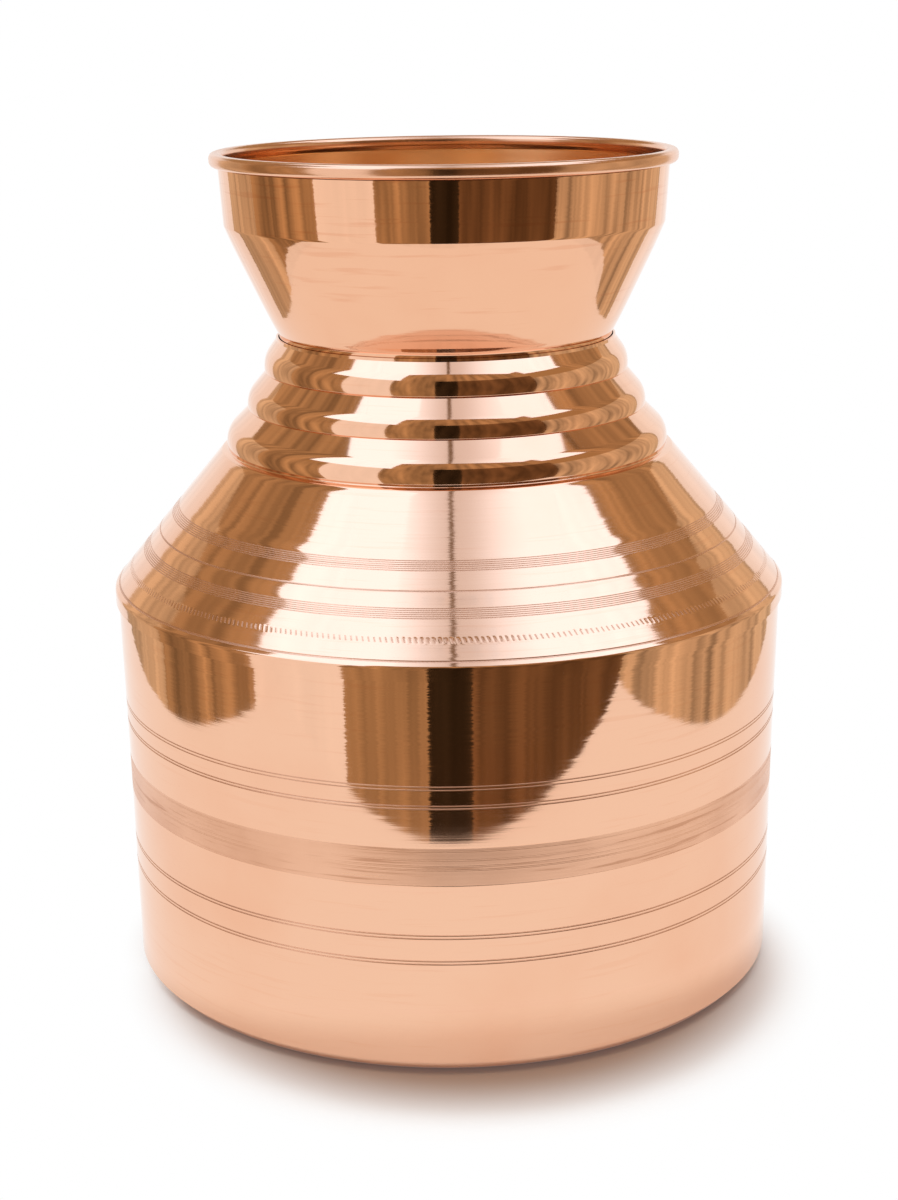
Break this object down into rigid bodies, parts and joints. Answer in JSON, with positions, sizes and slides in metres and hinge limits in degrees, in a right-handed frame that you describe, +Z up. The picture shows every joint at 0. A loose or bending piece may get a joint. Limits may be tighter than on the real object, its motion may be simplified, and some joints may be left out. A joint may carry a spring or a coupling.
{
  "type": "ritual water pot",
  "caption": "Polished copper water pot with a straight drum, sloping shoulder, ringed neck and flared funnel mouth with a wired rim; carries and pours ritual water.",
  "frame": {"origin": "centre of the foot, on the plane the pot stands on", "axes": "+Z up along the pot's axis of turning, towards the mouth"},
  "size_m": [0.24, 0.24, 0.2912],
  "materials": {
    "copper_sheet": "bright polished copper with fine turning marks and engraved lines",
    "rim_wire_steel": "plain drawn wire",
    "braze": "dull brazing metal"
  },
  "bodies": {
    "root": {"base_pan": "copper_sheet", "drum_wall": "copper_sheet", "ringed_shoulder": "copper_sheet", "funnel_mouth": "copper_sheet", "rim_wire": "rim_wire_steel", "base_braze_seam": "braze", "shoulder_braze_seam": "braze", "neck_braze_seam": "braze"}
  },
  "joints": []
}
